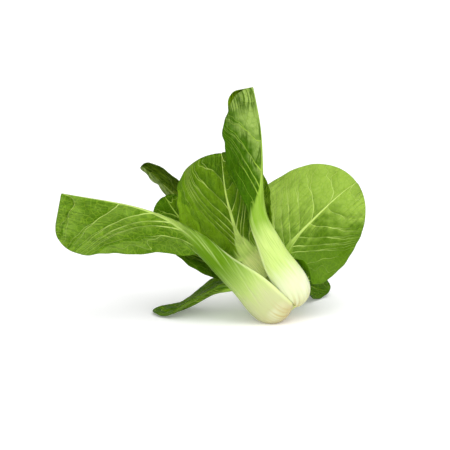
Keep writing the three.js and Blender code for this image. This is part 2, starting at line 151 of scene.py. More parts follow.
# Leaves from the outside of the head inwards: place round the head in degrees, half widths of the
# left and right halves, and path rows above the foot with x, y, z of the rib, the way the upper face
# looks, how far the left and right halves curl, in degrees, and where the leaf turns sharply also
# the axis its cross section stands square to
LEAVES = [
    dict(
        name="leaf_left", around=-50, span=1.06, blade_from=7.1, wide=(22, 39.5),
        root=0.72, tip=(0.26, 0.16), late=(0.35, 0), lobe=(1, 1), fold=52, waves=(1, 2.5, 0), ragged=0.5,
        veins=4, sweep=(0.8, 0.5), tone=-0.06, lean=(0.2, 0), crease=0.26, greening=(0.36, 0.8), fan=0.66,
        gloss=0.15, seed=1,
        colours=dict(
            deep=srgb(66, 106, 2), light=srgb(110, 141, 26),
            below=srgb(68, 108, 0), below_light=srgb(105, 139, 44),
            foot=srgb(192, 174, 132), bulge=srgb(184, 190, 138), neck=srgb(86, 125, 10),
        ),
        path=[
            (-33, -16, 43.5, 0.35, 0.85, 0.35, 40, 40),
            (-45, -17, 57, 0.15, 0.9, 0, 45, 40),
            (-60, -16, 69.5, 0.05, 0.75, -0.6, 50, 40),
            (-77, -14, 78, 0, 0.4, -0.9, 50, 35),
            (-96, -12.5, 85, 0, 0.25, -1, 50, 35),
            (-116, -12, 89.5, 0, 0.25, -1, 50, 35),
            (-134, -12, 93, 0, 0.25, -1, 50, 30),
            (-149, -12, 96, 0, 0.25, -1, 50, 30),
        ],
    ),
    dict(
        name="leaf_upright", around=52, inset=3.5, blade_from=7.1, neck=9.5, wide=(22.5, 26),
        root=0.66, tip=(0.12, 0.42), late=(0, 0.45), lobe=(2, 2), fold=48, waves=(1, 2.5, 1),
        veins=4, sweep=(0.65, 0.6), tone=0.03, lean=(0.7, -1.3), quilt=0.55, crease=0.85,
        gloss=0.05, seed=2,
        colours=dict(
            below=srgb(54, 94, 6), below_light=srgb(142, 168, 82),
            net=srgb(80, 118, 12), vein=srgb(150, 184, 66),
            # the whiter bulge partly paints the highlight on the swelling
            bulge=srgb(212, 220, 176), stalk=srgb(188, 210, 120), neck=srgb(116, 158, 28),
        ),
        path=[
            (1.5, -13, 62.5, -0.55, 0.75, -0.3, 40, 40),
            (-6, -14, 76.5, -0.6, 0.75, -0.2, 45, 45),
            (-7.5, -13, 91.5, -0.7, 0.7, -0.1, 45, 50),
            (-6.5, -11, 109.5, -0.85, 0.5, -0.05, 42, 50),
            (-6, -9, 128.5, -0.93, 0.35, 0, 48, 50),
            (-6.5, -7.5, 144.5, -0.95, 0.3, 0, 75, 55),
            (-8.5, -6, 158.5, -0.95, 0.3, 0.05, 100, 60),
            (-11, -5, 172.5, -0.95, 0.3, 0.05, 105, 60),
        ],
    ),
    dict(
        name="leaf_low_right", around=168, span=0.9, wide=(30, 20), tip=(0.4, 0.4), grid=NARROW,
        tone=-0.2, seed=3,
        path=[
            (8, 32, 37, -0.4, -0.6, 0.5, 35, 35),
            (13, 46, 31, -0.2, -0.5, 0.8, 25, 25),
            (20, 60, 21, -0.1, -0.7, 0.7, 15, 15),
            (29, 73, 14, -0.1, -0.75, 0.65, 12, 12),
            (39, 84, 11.5, -0.1, -0.75, 0.65, 12, 12),
            (49, 93, 12.5, -0.1, -0.75, 0.65, 12, 12),
        ],
    ),
    dict(
        name="leaf_low_left", around=-112, inset=4, span=0.9, blade_from=5.7, neck=7.5, wide=(20, 22),
        grid=NARROW, seed=4,
        path=[
            (-30, 12, 24, 0.5, -0.2, 0.8, 35, 35),
            (-41, 14, 21, 0.3, -0.1, 0.9, 25, 25),
            (-53, 16, 11, 0.3, 0, 0.95, 15, 15),
            (-65, 18, 4, 0.1, 0, 1, 12, 12),
            (-76, 19, 0, 0.05, 0, 1, 12, 12),
            (-85, 20, 2.5, 0, 0, 1, 12, 12),
        ],
    ),
    dict(
        name="leaf_right", around=128, inset=5, plump=0.85, tall=0.65, blade_from=6.2, neck=8,
        wide=(44, 40), root=0.32, lobe=(14, 21), waves=(1, 2.5, 2), ragged=0.3, veins=5, pucker=0.4,
        tone=0.08, lean=(0.6, -0.9), quilt=0.45, greening=(0.2, 0.5), fan=0.8, gloss=0.2, seed=5,
        colours=dict(
            deep=srgb(70, 106, 4), light=srgb(138, 168, 64), net=srgb(104, 142, 22),
            neck=srgb(104, 140, 20),
        ),
        path=[
            (13.5, 13.5, 43.5, -0.5, -0.7, 0, 38, 38, 0.05, 0.3, 0.95),
            (15.5, 18, 48.5, -0.25, -0.85, 0.2, 28, 28, 0.4, 0.35, 0.85),
            (21, 25, 55.5, -0.15, -0.85, 0.3, 12, 12, 0.6, 0.35, 0.72),
            (31, 31.5, 65, -0.2, -0.85, 0.35, 6, 6, 0.66, 0.3, 0.68),
            (45, 37, 78, -0.3, -0.9, 0.35, 4, 4),
            (58, 41, 89, -0.25, -0.9, 0.3, 3, 3),
            (69.5, 43, 97, -0.2, -0.95, 0.25, 3, 3),
        ],
    ),
    dict(
        name="leaf_rolled", around=-170, inset=4, rise=3, span=0.6, plump=0.7, wide=(13, 12), root=0.9,
        tip=(0.35, 0.35), lobe=(2, 2), grid=NARROW, tone=-0.02, crease=0.9, seed=6,
        path=[
            (-27, 29, 43, 0.1, -0.9, 0.3, 40, 40),
            (-40, 38, 56, 0.1, -0.9, 0.3, 50, 50),
            (-52, 46, 67.5, 0.1, -0.8, 0.5, 80, 80),
            (-67, 52, 83.5, 0.1, -0.7, 0.6, 110, 110),
            (-81, 54, 96, 0.1, -0.6, 0.7, 120, 120),
            (-95, 54, 107, 0.1, -0.6, 0.7, 120, 120),
        ],
    ),
    dict(
        name="leaf_back_left", around=-138, inset=7, span=0.75, plump=0.7, blade_from=5.5,
        wide=(21, 18), root=0.5, tip=(0.42, 0.5), grid=NARROW, tone=-0.2, seed=7,
        path=[
            (-30, 19, 38.5, 0.3, -0.9, 0.3, 40, 40),
            (-44, 22, 52, 0.25, -0.9, 0.3, 30, 30),
            (-56, 26, 62.5, 0.2, -0.9, 0.3, 15, 20),
            (-65.5, 30, 72, 0.15, -0.9, 0.3, 10, 20),
            (-71.5, 33, 79.5, 0.1, -0.9, 0.3, 10, 15),
            (-76.5, 36, 87, 0.1, -0.9, 0.3, 10, 10),
        ],
    ),
    dict(
        name="leaf_inner", around=150, inset=8, rise=3, span=0.7, plump=0.6, blade_from=5.5, neck=7,
        wide=(17, 17), grid=NARROW, seed=8,
        path=[
            (-8, 17, 51.5, -0.2, -0.9, 0.1, 40, 40),
            (-12, 20, 67.5, -0.2, -0.9, 0.1, 30, 30),
            (-14, 23, 83.5, -0.2, -0.9, 0.1, 20, 20),
            (-14, 27, 98.5, -0.15, -0.9, 0.15, 15, 15),
            (-13, 31, 111.5, -0.1, -0.9, 0.2, 15, 15),
        ],
    ),
    dict(
        name="leaf_middle", around=186, inset=9.5, rise=4, span=0.85, plump=0.65, blade_from=5.8,
        wide=(36, 24), root=0.55, tip=(0.45, 0.45), waves=(0.9, 2.5, 0.5), veins=5, sweep=(0.9, 0.85),
        lean=(-0.15, -0.5), greening=(0.86, 1.1), fan=1.05, gloss=0.2, seed=9,
        colours=dict(
            vein=srgb(198, 224, 112),
            # the bright bulge and stalk partly paint light onto a stalk that lies shaded between its
            # neighbours
            bulge=srgb(236, 244, 184), stalk=srgb(242, 255, 160), neck=srgb(152, 196, 56),
        ),
        path=[
            (-15, 9, 49.5, 0.1, -0.97, 0.2, 40, 40),
            (-21, 9, 59.5, 0.1, -0.97, 0.2, 25, 40),
            (-26, 11, 76.5, 0.05, -0.97, 0.2, 12, 50),
            (-30, 14, 89.5, 0, -0.95, 0.3, 8, 60),
            (-32, 19, 104.5, 0, -0.9, 0.4, 6, 60),
            (-33.5, 25, 121.5, 0, -0.85, 0.5, 5, 50),
        ],
    ),
]

# Small leaves at the heart of the head, which stand up from their foot by their reach
HEART_LEAF = dict(rib_thick=0.8, neck=2, lobe=(0, 0), waves=(0.2, 2, 0), grid=HEART, veins=4, pucker=0.1)
HEART_LEAVES = [
    dict(name="heart_leaf_outer", around=20, share=0.34, rise=9, wide=4.6, reach=9),
    dict(name="heart_leaf_side", around=200, share=0.27, rise=11, wide=4, reach=8),
    dict(name="heart_leaf_inner", around=110, share=0.2, rise=13, wide=3, reach=7),
]

# Colours of a leaf: blade above and below from deep to light, net of small veins, side veins, and the
# stalk from the pale foot to the green neck
BRIGHT = dict(
    deep=srgb(78, 116, 0), light=srgb(116, 150, 16),
    below=srgb(74, 116, 0), below_light=srgb(112, 148, 44),
    net=srgb(150, 184, 52), vein=srgb(190, 216, 112),
    foot=srgb(188, 184, 134), bulge=srgb(192, 200, 140), stalk=srgb(184, 209, 114),
    neck=srgb(140, 182, 40),
)
PALETTES = {
    "leaf_light": BRIGHT,
    "leaf_deep": dict(
        BRIGHT, deep=srgb(58, 98, 0), light=srgb(98, 136, 6), below=srgb(62, 100, 0),
        below_light=srgb(100, 134, 24), net=srgb(118, 156, 30), vein=srgb(166, 200, 78),
    ),
    "leaf_dull": dict(
        BRIGHT, deep=srgb(60, 88, 0), light=srgb(92, 118, 20), below=srgb(80, 106, 22),
        below_light=srgb(134, 154, 84), net=srgb(120, 144, 50), vein=srgb(150, 174, 82),
    ),
    "leaf_heart": dict(
        BRIGHT, deep=srgb(150, 180, 50), light=srgb(186, 206, 90), below=srgb(176, 200, 90),
        below_light=srgb(200, 214, 120), vein=srgb(214, 228, 140), neck=srgb(196, 214, 110),
    ),
}

# Colours that all leaves share: painted shade in fine creases, scuffs on the foot, painted highlight
# patches on the swelling, pale strands, and the rim of a stalk
CREASE_SHADE = srgb(44, 78, 0)
SCUFF = srgb(178, 158, 104)
PAINTED_HIGHLIGHT = srgb(238, 240, 222)
PALE_STRAND = srgb(216, 234, 150)
STALK_RIM = srgb(226, 238, 172)

# Half width of a side vein at the rib, and of the midrib's flesh in half widths of the rib
VEIN_HALF_WIDTH = 0.52
MIDRIB_WIDTH = 0.24

# Cut stem end: pith from dull to fresh, the browned ring, and the green skin
DULL_PITH = srgb(206, 196, 150)
FRESH_PITH = srgb(228, 222, 184)
BROWNED = srgb(186, 170, 112)
STEM_SKIN = srgb(196, 204, 132)

# Studio, in metres: floor and its glow, sky, and lights with the way to each, spread in degrees and
# strength
FLOOR_SIZE = 60
FLOOR_GLOW = 0.16
SKY_GLOW = 0.36
LIGHTS = [
    ("top_light", (0.25, -0.25, 1.0), 60, 1.87),
    ("right_light", (0.9, -0.7, 0.75), 40, 0.5),
    ("front_light", (-0.1, -1.0, 0.45), 45, 1.5),
]

# Camera: the point it looks at, its distance in metres, how far it looks down, its lens and sensor
LOOKS_AT = np.array([-33.35, 27.0, 67.83])
EYE_DISTANCE = 1.1
EYE_TILT = math.radians(10)
LENS = 117.33
SENSOR = 36


# ---------------------------------------------------------------- small helpers
def smoothstep(low, high, value):
    t = np.clip((value - low) / (high - low), 0, 1)
    return t * t * (3 - 2 * t)


def by_half(right, pair):
    """The left or the right one of a pair, for every place across a leaf."""
    return np.where(right, pair[1], pair[0])


def outward(degrees):
    """Unit vector away from the head axis at a place round it."""
    angle = math.radians(degrees)
    return math.cos(angle) * FRONT + math.sin(angle) * SIDE


def head_point(around, radius, height):
    return BASE_CENTRE + AXIS * height + outward(around) * radius


def unit(vectors):
    length = np.linalg.norm(vectors, axis=-1, keepdims=True)
    return vectors / np.maximum(length, 1e-9)


def ripples(points, wavelength, seed):
    """Smooth noise between about -1 and 1, from seeded waves in all directions."""
    draw = np.random.default_rng(seed)
    total = np.zeros(points.shape[:-1])
    for _ in range(NOISE_WAVES):
        direction = unit(draw.normal(size=3))
        turns = points @ direction / (wavelength * draw.uniform(0.7, 1.5))
        total += np.sin(2 * math.pi * (turns + draw.uniform()))
    return total / math.sqrt(NOISE_WAVES * 0.5) * 0.5


# ---------------------------------------------------------------- leaf surfaces
def spline(rows, place):
    """Uniform cubic B-spline through rows of numbers; place runs from 0 to 1."""
    last = len(rows) - 1
    padded = np.vstack([2 * rows[0] - rows[1], rows, 2 * rows[-1] - rows[-2]])
    u = np.clip(place, 0, 1) * last
    cell = np.minimum(u.astype(int), last - 1)
    f = (u - cell)[:, None]
    return (
        (1 - f) ** 3 * padded[cell]
        + (3 * f**3 - 6 * f**2 + 4) * padded[cell + 1]
        + (-3 * f**3 + 3 * f**2 + 3 * f + 1) * padded[cell + 2]
        + f**3 * padded[cell + 3]
    ) / 6


def control_rows(leaf):
    """Rib point, upper face normal, section axis, rib half width, rib thickness, both curls."""
    away = outward(leaf["around"])
    rows = []
    for radius, height, half, thick in STALK_FOOT:
        inner = radius * leaf["share"] - leaf["inset"]
        r = 3 + 0.2 * (inner - 3) if inner < 3 and leaf["inset"] > 0 else inner
        h = height * leaf["share"] * leaf["tall"] + leaf["rise"]
        arc = half * leaf["span"]
        point = head_point(leaf["around"], r, h)
        thickness = thick * leaf["share"] * leaf["plump"]
        rows.append([*point, *-away, *AXIS, r * math.radians(arc), thickness, arc, arc])
    points = [np.array(row[:3], float) for row in leaf["path"]]
    for k, row in enumerate(leaf["path"]):
        back = points[k - 1] if k else np.array(rows[-1][:3])
        ahead = points[min(k + 1, len(points) - 1)]
        axis = unit(np.array(row[8:], float) if len(row) > 8 else ahead - back)
        left = 1 - k / (len(points) - 1)
        rib = leaf["neck"] * left**1.1 + 0.4
        thick = leaf["rib_thick"] * left**1.3 + 0.05
        rows.append([*points[k], *unit(np.array(row[3:6], float)), *axis, rib, thick, row[6], row[7]])
    return np.array(rows)


def rows_along(leaf):
    """Path values and distance from the foot for each grid row, and where the blade starts and ends."""
    rows = control_rows(leaf)
    dense = np.linspace(0, 1, PATH_SAMPLES)
    steps = np.linalg.norm(np.diff(spline(rows, dense)[:, :3], axis=0), axis=1)
    run = np.concatenate([[0], np.cumsum(steps)])
    end = run[-1]
    start = np.interp(leaf["blade_from"] / (len(rows) - 1), dense, run)
    tau = np.linspace(0, 1, leaf["grid"][0] + 1)
    reach = end * (0.25 * tau + 0.75 * (0.5 - 0.5 * np.cos(math.pi * tau)))
    return spline(rows, np.interp(reach, run, dense)), reach, start, end


def half_widths(leaf, x, q, right, rib):
    """Distance from the rib to the margin, and how far the blade has opened, from 0 to 1."""
    root, tip = leaf["root"], by_half(right, leaf["tip"])
    peak = root / (root + tip)
    full = (x / peak) ** root * ((1 - x) / (1 - peak)) ** tip
    late = by_half(right, leaf["late"])
    full = full * smoothstep(0, 1, (x + 1e-6) / (late + 1e-6))
    full[-1] = TIP_WIDTH
    opened = np.minimum(full, 1)
    turns = 2 * leaf["seed"] + 3 * right
    uneven = 0.014 * (np.sin(19 * x + turns) + np.sin(47 * x + 2 * turns))
    margin = 1 + leaf["ragged"] * uneven * q**4 * opened
    wide = by_half(right, leaf["wide"])
    return (rib * (1 - 0.6 * opened) + full * wide) * margin, opened


def cross_section(leaf, x, q, right, rib, half, opened, curl):
    """How far beside the rib and how high above it the points lie, by fold, curls and waves."""
    height, count, phase = leaf["waves"]
    wave = height * opened * q**2.5 * np.sin(2 * math.pi * count * x + phase + 1.9 * right)
    turn = math.radians(leaf["fold"]) * smoothstep(0, 0.3, x)
    share = np.linspace(0, 1, SECTION_SAMPLES)[:, None, None] * q
    angle = turn * (1 - np.exp(-share * half / (0.7 * rib + 1))) + curl * share
    middle = (angle[1:] + angle[:-1]) / 2
    sign = np.where(right, 1, -1)
    return sign * half * q * np.cos(middle).mean(0), half * q * np.sin(middle).mean(0) + wave


def vein_numbers(x, q, side, leaf):
    """A number at each place of a blade that is whole along each side vein."""
    sweep, bend = leaf["sweep"]
    swept = sweep * q**bend
    start = (x - swept) / (1 - swept)
    above = 2 * leaf["veins"] * start / (1 + np.abs(start))
    below = 2 * start / (1 / leaf["veins"] + np.abs(start))
    number = np.where(start > 0, above, below)
    number = number + 0.35 * side * (1 - np.exp(-q / 0.08))
    wander = 0.12 * np.sin(9 * x + 5 * q + leaf["seed"]) + 0.06 * np.sin(31 * x + 17 * q + 2 * leaf["seed"])
    return number + wander * q


def leaf_surface(leaf):
    """Upper and lower points of a leaf, the way it faces, and its fields for relief and colour."""
    row, reach, start, end = rows_along(leaf)
    point = row[:, None, :3]
    axis = unit(row[:, 6:9])
    face = unit(row[:, 3:6] - (row[:, 3:6] * axis).sum(1)[:, None] * axis)
    sideways = np.cross(axis, face)[:, None]
    axis, face = axis[:, None], face[:, None]
    rib, thick = row[:, 9:10], row[:, 10:11]
    x = np.clip((reach - start) / (end - start), 0, 1)[:, None]

    even = np.linspace(-1, 1, leaf["grid"][1] + 1)[None]
    q = np.abs(even) ** CROWDING
    right = even >= 0
    sign = np.where(right, 1, -1)
    curl = np.radians(by_half(right, (row[:, 11:12], row[:, 12:13])))
    half, opened = half_widths(leaf, x, q, right, rib)
    out, lift = cross_section(leaf, x, q, right, rib, half, opened, curl)
    swept = by_half(right, leaf["lobe"]) * (1 - x) ** 2 * np.minimum(20 * x, 1) * q**1.5
    upper = point + sideways * out[..., None] + face * lift[..., None] - axis * swept[..., None]

    onward, over = np.gradient(upper, axis=0), np.gradient(upper, axis=1)
    normal = unit(np.cross(over, onward))
    normal *= np.sign((normal * face).sum(-1).mean())
    normal[-1] = normal[-2]
    distance = q * half
    in_rib = np.minimum(distance / np.maximum(rib, 0.3), 1)
    deep = BLADE_MARGIN + thick * (1 - in_rib**2)

    fields = dict(
        x=x + 0 * q, q=q + 0 * x, across=distance * sign, along=reach[:, None] + 0 * q,
        stalk=np.clip(reach / start, 0, 1)[:, None] + 0 * q,
        ribs=distance / np.maximum(rib, 0.3),
        number=vein_numbers(x, q, sign, leaf),
    )
    d_along = np.maximum(np.linalg.norm(onward, axis=-1), 0.05)
    d_over = np.maximum(np.linalg.norm(over, axis=-1), 0.05)
    slope = np.hypot(
        np.gradient(fields["number"], axis=0) / d_along, np.gradient(fields["number"], axis=1) / d_over
    )
    fields["pitch"] = np.clip(1 / np.maximum(slope, 1e-3), 0.5, 30)
    upper, lower = raise_relief(leaf, upper, normal, deep, fields)
    return upper, lower, normal, fields


def raise_relief(leaf, upper, normal, deep, fields):
    """Puckers the blade between its veins, and raises the strands of the stalk and the veins below."""
    x, q, ribs = fields["x"], fields["q"], fields["ribs"]
    off_vein = 0.5 - np.abs(fields["number"] % 1 - 0.5)
    off_vein = off_vein * fields["pitch"]
    blade = smoothstep(0.01, 0.12, x) * (1 - smoothstep(0.94, 1, x))
    lamina = blade * smoothstep(0.8, 2.2, ribs) * (1 - q**8)
    billow = lamina * (1 - np.exp(-((off_vein / 2.0) ** 2))) * leaf["pucker"]
    sway = sum(height * ripples(upper, length, extra + leaf["seed"]) for length, height, extra in SWELLS)
    sway = sway * blade * smoothstep(0.3, 1.5, ribs)
    side = np.sign(fields["across"])
    strands = np.sin(2 * math.pi * (7 * q + 0.13 * side) + 3 * fields["stalk"])
    strands = strands + 0.6 * np.sin(2 * math.pi * 12.3 * q + 2 * side + 5 * fields["stalk"])
    stalk = (1 - smoothstep(0.0, 0.3, x)) * smoothstep(0.25, 0.6, fields["stalk"])
    strands = STRAND_HEIGHT * strands * stalk * (1 - q**6)
    groove = GROOVE_DEPTH * np.exp(-((ribs / 0.7) ** 2)) * blade * np.minimum(deep / 3, 1)
    vein = VEIN_HEIGHT * lamina * np.exp(-((off_vein / 0.7) ** 2)) * (1 - 0.7 * q)
    high = (billow + sway + strands - groove)[..., None]
    low = (billow + sway - strands - vein - deep)[..., None]
    return upper + normal * high, upper + normal * low


# ---------------------------------------------------------------- pressing leaves together
def exit_distance(tree, point, direction):
    """How far a point lies inside a closed body along a direction, or 0 if it is outside."""
    hit, face_normal, _, distance = tree.ray_cast(point, direction, DEEPEST_ENTRY)
    return distance if hit is not None and face_normal.dot(direction) > 0 else 0.0


def spread(field, rounds):
    """Lets a raised patch of a grid fall away smoothly round its edge."""
    for _ in range(rounds):
        padded = np.pad(field, 1, mode="edge")
        mean = (
            padded[:-2, 1:-1] + padded[2:, 1:-1] + padded[1:-1, :-2] + padded[1:-1, 2:] + 4 * field
        ) / 8
        field = np.maximum(field, mean)
    return field


def neighbours(upper, outer):
    """The leaves outside a leaf whose boxes come near it."""
    low, high = upper.min((0, 1)) - NEIGHBOUR, upper.max((0, 1)) + NEIGHBOUR
    return [tree for tree, lowest, highest in outer if (lowest < high).all() and (highest > low).all()]


def press(upper, lower, normal, outer):
    """Moves a leaf's faces inwards where they would enter the leaves outside it."""
    near = neighbours(upper, outer)
    if not near:
        return upper, lower
    rows, columns = upper.shape[:2]
    push = np.zeros((rows, columns))
    for i in range(rows):
        for j in range(columns):
            point, direction = Vector(upper[i, j]), Vector(normal[i, j])
            for tree in near:
                inside = exit_distance(tree, point + direction * push[i, j], direction)
                if inside:
                    push[i, j] += inside + LEAF_GAP
    push = spread(push, 5)
    upper = upper + normal * push[..., None]
    thick = np.maximum(((upper - lower) * normal).sum(-1), 0.05)
    room = thick.copy()
    for i in range(rows):
        for j in range(columns):
            point, direction = Vector(upper[i, j]), Vector(-normal[i, j])
            for tree in near:
                hit, face_normal, _, distance = tree.ray_cast(point, direction, thick[i, j] + LEAF_GAP)
                if hit is not None and face_normal.dot(direction) < 0:
                    room[i, j] = min(room[i, j], max(distance - LEAF_GAP, PRESSED_THIN))
    taken = spread(thick - room, 3)
    thick = np.maximum(thick - taken, PRESSED_THIN)
    return upper, upper - normal * thick[..., None]


# ---------------------------------------------------------------- meshes
def make_mesh(name, points, faces, values, flat=None):
    """A smooth mesh in metres from points in millimetres, with point attributes and a flat map."""
    mesh = bpy.data.meshes.new(name)
    mesh.from_pydata((points * MM).tolist(), [], faces)
    mesh.validate()
    mesh.shade_smooth()
    for key, value in values.items():
        attribute = mesh.attributes.new(key, "FLOAT_VECTOR", "POINT")
        attribute.data.foreach_set("vector", value.astype(np.float32).ravel())
    if flat is not None:
        layer = mesh.uv_layers.new(name="leaf_flat")
        corners = np.zeros(len(mesh.loops), np.int32)
        mesh.loops.foreach_get("vertex_index", corners)
        layer.data.foreach_set("uv", flat[corners].astype(np.float32).ravel())
    piece = bpy.data.objects.new(name, mesh)
    bpy.context.scene.collection.objects.link(piece)
    return piece


def closed_rings(upper, lower):
    """Points and faces of a closed body: rings over the upper face, round the rim and back below."""
    rows, columns = upper.shape[:2]
    rims = []
    for edge, inside in ((-1, -2), (0, 1)):
        top, bottom = upper[:, edge], lower[:, edge]
        away = unit(top - upper[:, inside])
        bulge = RIM_BULGE * np.linalg.norm(top - bottom, axis=1, keepdims=True)
        rims.append(((top + bottom) / 2 + away * bulge)[:, None])
    rings = np.concatenate([upper, rims[0], lower[:, ::-1], rims[1]], axis=1)
    ring = rings.shape[1]
    index = np.arange(rows * ring).reshape(rows, ring)
    following = np.roll(index, -1, axis=1)
    quads = np.stack([index[:-1], following[:-1], following[1:], index[1:]], axis=-1)
    faces = quads.reshape(-1, 4).tolist()
    for end, flip in ((0, True), (rows - 1, False)):
        first = end * ring
        for j in range(columns - 1):
            a, b = first + j, first + j + 1
            c, d = first + 2 * columns - j - 1, first + 2 * columns - j
            faces.append([a, d, c, b] if flip else [a, b, c, d])
        right = [first + columns - 1, first + columns, first + columns + 1]
        left = [first, first + 2 * columns, first + ring - 1]
        faces += [right[::-1], left[::-1]] if flip else [right, left]
    return rings.reshape(-1, 3), faces


def on_rings(upper_value, lower_value):
    """A field on the grid, laid out as the points of closed_rings."""
    right = (upper_value[:, -1:] + lower_value[:, -1:]) / 2
    left = (upper_value[:, :1] + lower_value[:, :1]) / 2
    return np.concatenate([upper_value, right, lower_value[:, ::-1], left], axis=1).ravel()


def leaf_piece(leaf, outer):
    """Fine mesh of one leaf, clear of the leaves outside it, whose list it then joins."""
    upper, lower, normal, fields = leaf_surface(leaf)
    upper, lower = press(upper, lower, normal, outer)
    points, faces = closed_rings(upper, lower)
    points = points - REST_SPOT
    points[:, 2] = np.maximum(points[:, 2], CLEARANCE)
    rings = {key: on_rings(value, value) for key, value in fields.items()}
    under = on_rings(np.zeros_like(fields["x"]), np.ones_like(fields["x"]))
    along, across = rings["along"] / MAP_UNIT, rings["across"] / MAP_UNIT
    values = dict(
        leaf_place=np.stack([rings["x"], rings["q"], under], axis=1),
        leaf_vein=np.stack([rings["number"], rings["pitch"], rings["ribs"]], axis=1),
        leaf_stalk=np.stack([rings["stalk"], along, across], axis=1),
    )
    piece = make_mesh("fine_" + leaf["name"], points, faces, values, np.stack([along, across], axis=1))
    body = points + REST_SPOT
    tree = BVHTree.FromPolygons(body.tolist(), faces)
    outer.append((tree, body.min(0), body.max(0)))
    return piece


def heart_path(leaf):
    """Straight up the axis from the foot, leaning in a little."""
    radius, height = (size * leaf["share"] for size in STALK_FOOT[-1][:2])
    start = height + leaf["rise"]
    inward = -outward(leaf["around"])
    return [
        (*head_point(leaf["around"], radius * (1 - 0.25 * f), start + leaf["reach"] * f), *inward, 60, 60)
        for f in (0.35, 0.7, 1)
    ]


def core_piece():
    """Stem core turned about the head axis, its cut face a little uneven."""
    cut_radius, cut_height = CORE_PROFILE[0]
    turned = [(0.0, cut_height, 0.0)]
    for share in np.linspace(0.08, 0.97, CUT_RINGS):
        turned.append((cut_radius * share, cut_height, share))
    for radius, height in spline(np.array(CORE_PROFILE, float), np.linspace(0, 1, SIDE_RINGS)):
        turned.append((max(radius, 0), height, 1.0))
    points, values = [], []
    for radius, height, ring in turned:
        for angle in np.linspace(0, 360, CORE_SIDES, endpoint=False):
            points.append(head_point(angle, radius, height))
            values.append((ring, 0, 0))
    points, values = np.array(points), np.array(values)
    on_cut = values[:, :1] < 0.99
    points += on_cut * AXIS * (CUT_RELIEF * ripples(points, 5, 31) + CUT_RELIEF)[:, None]
    index = np.arange(len(points)).reshape(len(turned), CORE_SIDES)
    following = np.roll(index, -1, axis=1)
    quads = np.stack([index[:-1], index[1:], following[1:], following[:-1]], axis=-1)
    faces = quads.reshape(-1, 4).tolist()
    piece = make_mesh("fine_core", points - REST_SPOT, faces, dict(stem_place=values))
    weld(piece)
    return piece


def weld(piece):
    """Joins the points that share a place, such as the pole of a turned shape."""
    work = bmesh.new()
    work.from_mesh(piece.data)
    bmesh.ops.remove_doubles(work, verts=work.verts, dist=1e-6)
    bmesh.ops.recalc_face_normals(work, faces=work.faces)
    work.to_mesh(piece.data)
    work.free()


# ---------------------------------------------------------------- materials
class Graph:
    """A material's nodes, written as formulas."""

    def __init__(self, name):
        self.material = bpy.data.materials.new(name)
        self.material.use_nodes = True
        self.nodes = self.material.node_tree.nodes
        self.links = self.material.node_tree.links
        self.shader = self.nodes["Principled BSDF"]

    def put(self, socket, value):
        if isinstance(value, bpy.types.NodeSocket):
            self.links.new(value, socket)
        else:
            socket.default_value = value

    def shade(self, values):
        """Sets inputs of the shader by their names."""
        for name, value in values.items():
            self.put(self.shader.inputs[name], value)

    def math(self, operation, *values):
        node = self.nodes.new("ShaderNodeMath")
        node.operation = operation
        for socket, value in zip(node.inputs, values):
            self.put(socket, value)
        return node.outputs[0]

    def plus(self, one, other):
        return self.math("ADD", one, other)

    def minus(self, one, other):
        return self.math("SUBTRACT", one, other)

    def times(self, one, other):
        return self.math("MULTIPLY", one, other)

    def opposite(self, value):
        """0 where a value is 1, and 1 where it is 0."""
        return self.minus(1.0, value)

    def apart(self, one, other):
        """How far two values are from each other."""
        return self.math("ABSOLUTE", self.minus(one, other))

    def step(self, low, high, value):
        node = self.nodes.new("ShaderNodeMapRange")
        node.interpolation_type = "SMOOTHSTEP"
        for socket, given in zip(node.inputs, (value, low, high)):
            self.put(socket, given)
        return node.outputs[0]

    def mix(self, factor, one, other):
        node = self.nodes.new("ShaderNodeMix")
        node.data_type = "RGBA"
        for socket, given in zip((node.inputs[0], node.inputs[6], node.inputs[7]), (factor, one, other)):
            self.put(socket, given)
        return node.outputs[2]

    def attribute(self, name):
        """The three numbers of a point attribute."""
        node = self.nodes.new("ShaderNodeAttribute")
        node.attribute_name = name
        split = self.nodes.new("ShaderNodeSeparateXYZ")
        self.put(split.inputs[0], node.outputs["Vector"])
        return split.outputs

    def vector(self, *values):
        node = self.nodes.new("ShaderNodeCombineXYZ")
        for socket, value in zip(node.inputs, values):
            self.put(socket, value)
        return node.outputs[0]

    def noise(self, place, scale, detail):
        node = self.nodes.new("ShaderNodeTexNoise")
        self.put(node.inputs["Vector"], place)
        node.inputs["Scale"].default_value = scale
        node.inputs["Detail"].default_value = detail
        return node.outputs[0]

    def cells(self, place, scale):
        """Distance to the nearest edge between Voronoi cells."""
        node = self.nodes.new("ShaderNodeTexVoronoi")
        node.feature = "DISTANCE_TO_EDGE"
        self.put(node.inputs["Vector"], place)
        node.inputs["Scale"].default_value = scale
        return node.outputs["Distance"]

    def object_place(self):
        return self.nodes.new("ShaderNodeTexCoord").outputs["Object"]

    def bump(self, height, distance):
        node = self.nodes.new("ShaderNodeBump")
        node.inputs["Distance"].default_value = distance
        node.inputs["Strength"].default_value = 1.0
        self.put(node.inputs["Height"], height)
        self.put(self.shader.inputs["Normal"], node.outputs[0])


def leaf_places(g):
    """Where a point lies on its blade, among its veins, on its stalk and in the part."""
    x, q, under = g.attribute("leaf_place")
    number, pitch, ribs = g.attribute("leaf_vein")
    stalk, along, across = g.attribute("leaf_stalk")
    return SimpleNamespace(
        x=x, q=q, under=under, number=number, pitch=pitch, ribs=ribs,
        stalk=stalk, along=along, across=across, part=g.object_place(),
    )


def drawn_out(g, at, across, along_scale, across_scale, detail):
    """Noise that is long along the leaf and fine across it."""
    place = g.vector(g.times(at.along, along_scale), g.times(across, across_scale), at.under)
    return g.noise(place, 1, detail)


